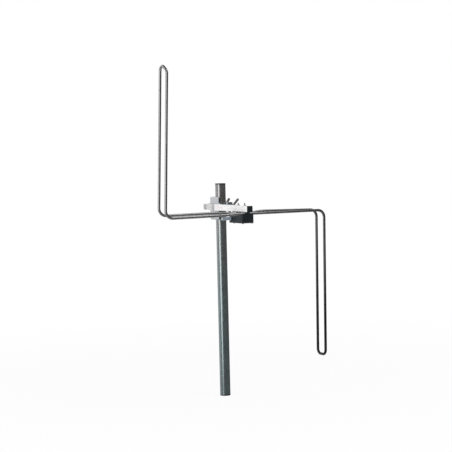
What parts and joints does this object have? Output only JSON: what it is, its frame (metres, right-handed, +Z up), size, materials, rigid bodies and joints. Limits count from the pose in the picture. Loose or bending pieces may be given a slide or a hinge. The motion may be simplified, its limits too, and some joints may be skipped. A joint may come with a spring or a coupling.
{
  "type": "fm antenna",
  "caption": "Folded dipole rod bent into an S, on a square boom with a black connection box, held to a mast tube by a toothed clamp with wing nuts.",
  "frame": {"origin": "on the mast tube's axis at its lower end", "axes": "+Z up along the mast, +X along the level rods towards the arm that hangs down, +Y from the loop to the mast and on to the back"},
  "size_m": [0.5399, 0.279, 1.0094],
  "materials": {
    "galvanised_steel": "hot-dip galvanised, spangled",
    "drawn_rod": "drawn and bent, bright",
    "extruded_boom": "mill-finish extrusion",
    "black_plastic": "fine moulded grain",
    "zinc_plate": "zinc plated, pressed",
    "dark_zinc": "black passivated, cast",
    "bright_screw": "zinc plated",
    "gasket_rubber": "matt",
    "brass_tag": "tinned edges",
    "copper_wire": "enamelled",
    "board_laminate": "phenolic board",
    "ferrite": "sintered",
    "nickel": "nickel plated",
    "white_insulator": "smooth"
  },
  "bodies": {
    "antenna": {"mast_tube": "galvanised_steel", "dipole_rod": "drawn_rod", "boom_tube": "extruded_boom", "boom_front_plug": "black_plastic", "boom_rear_plug": "black_plastic", "rod_saddle": "black_plastic", "box_body": "black_plastic", "box_gasket": "gasket_rubber", "box_lid": "black_plastic", "lid_screws": "bright_screw", "box_bolts": "bright_screw", "box_nuts": "bright_screw", "terminal_screws": "bright_screw", "terminal_nuts": "bright_screw", "terminal_tags": "brass_tag", "balun_board": "board_laminate", "balun_core": "ferrite", "balun_winding": "copper_wire", "coax_socket": "nickel", "coax_nut": "nickel", "coax_insulator": "white_insulator", "mast_saddle": "zinc_plate", "saddle_rivets": "bright_screw", "mast_jaw": "zinc_plate", "clamp_bolt_front": "zinc_plate", "clamp_bolt_rear": "zinc_plate"},
    "front_washer": {"clamp_washer_front": "zinc_plate"},
    "front_nut": {"wing_nut_front": "dark_zinc"},
    "rear_washer": {"clamp_washer_rear": "zinc_plate"},
    "rear_nut": {"wing_nut_rear": "dark_zinc"}
  },
  "joints": [
    {"name": "front_nut_travel", "type": "slide", "parent": "antenna", "child": "front_washer", "axis": [1, 0, 0], "range_m": [0, 0.01]},
    {"name": "front_nut_turn", "type": "hinge", "parent": "front_washer", "child": "front_nut", "pos_m": [0, -0.025, 0.5872], "axis": [1, 0, 0], "range_deg": [0, 2880]},
    {"name": "rear_nut_travel", "type": "slide", "parent": "antenna", "child": "rear_washer", "axis": [1, 0, 0], "range_m": [0, 0.01]},
    {"name": "rear_nut_turn", "type": "hinge", "parent": "rear_washer", "child": "rear_nut", "pos_m": [0, 0.025, 0.5872], "axis": [1, 0, 0], "range_deg": [0, 2880]}
  ],
  "couplings": [
    {"joint": "front_nut_turn", "follows": "front_nut_travel", "rad_per_m": 5026.5},
    {"joint": "rear_nut_turn", "follows": "rear_nut_travel", "rad_per_m": 5026.5}
  ]
}
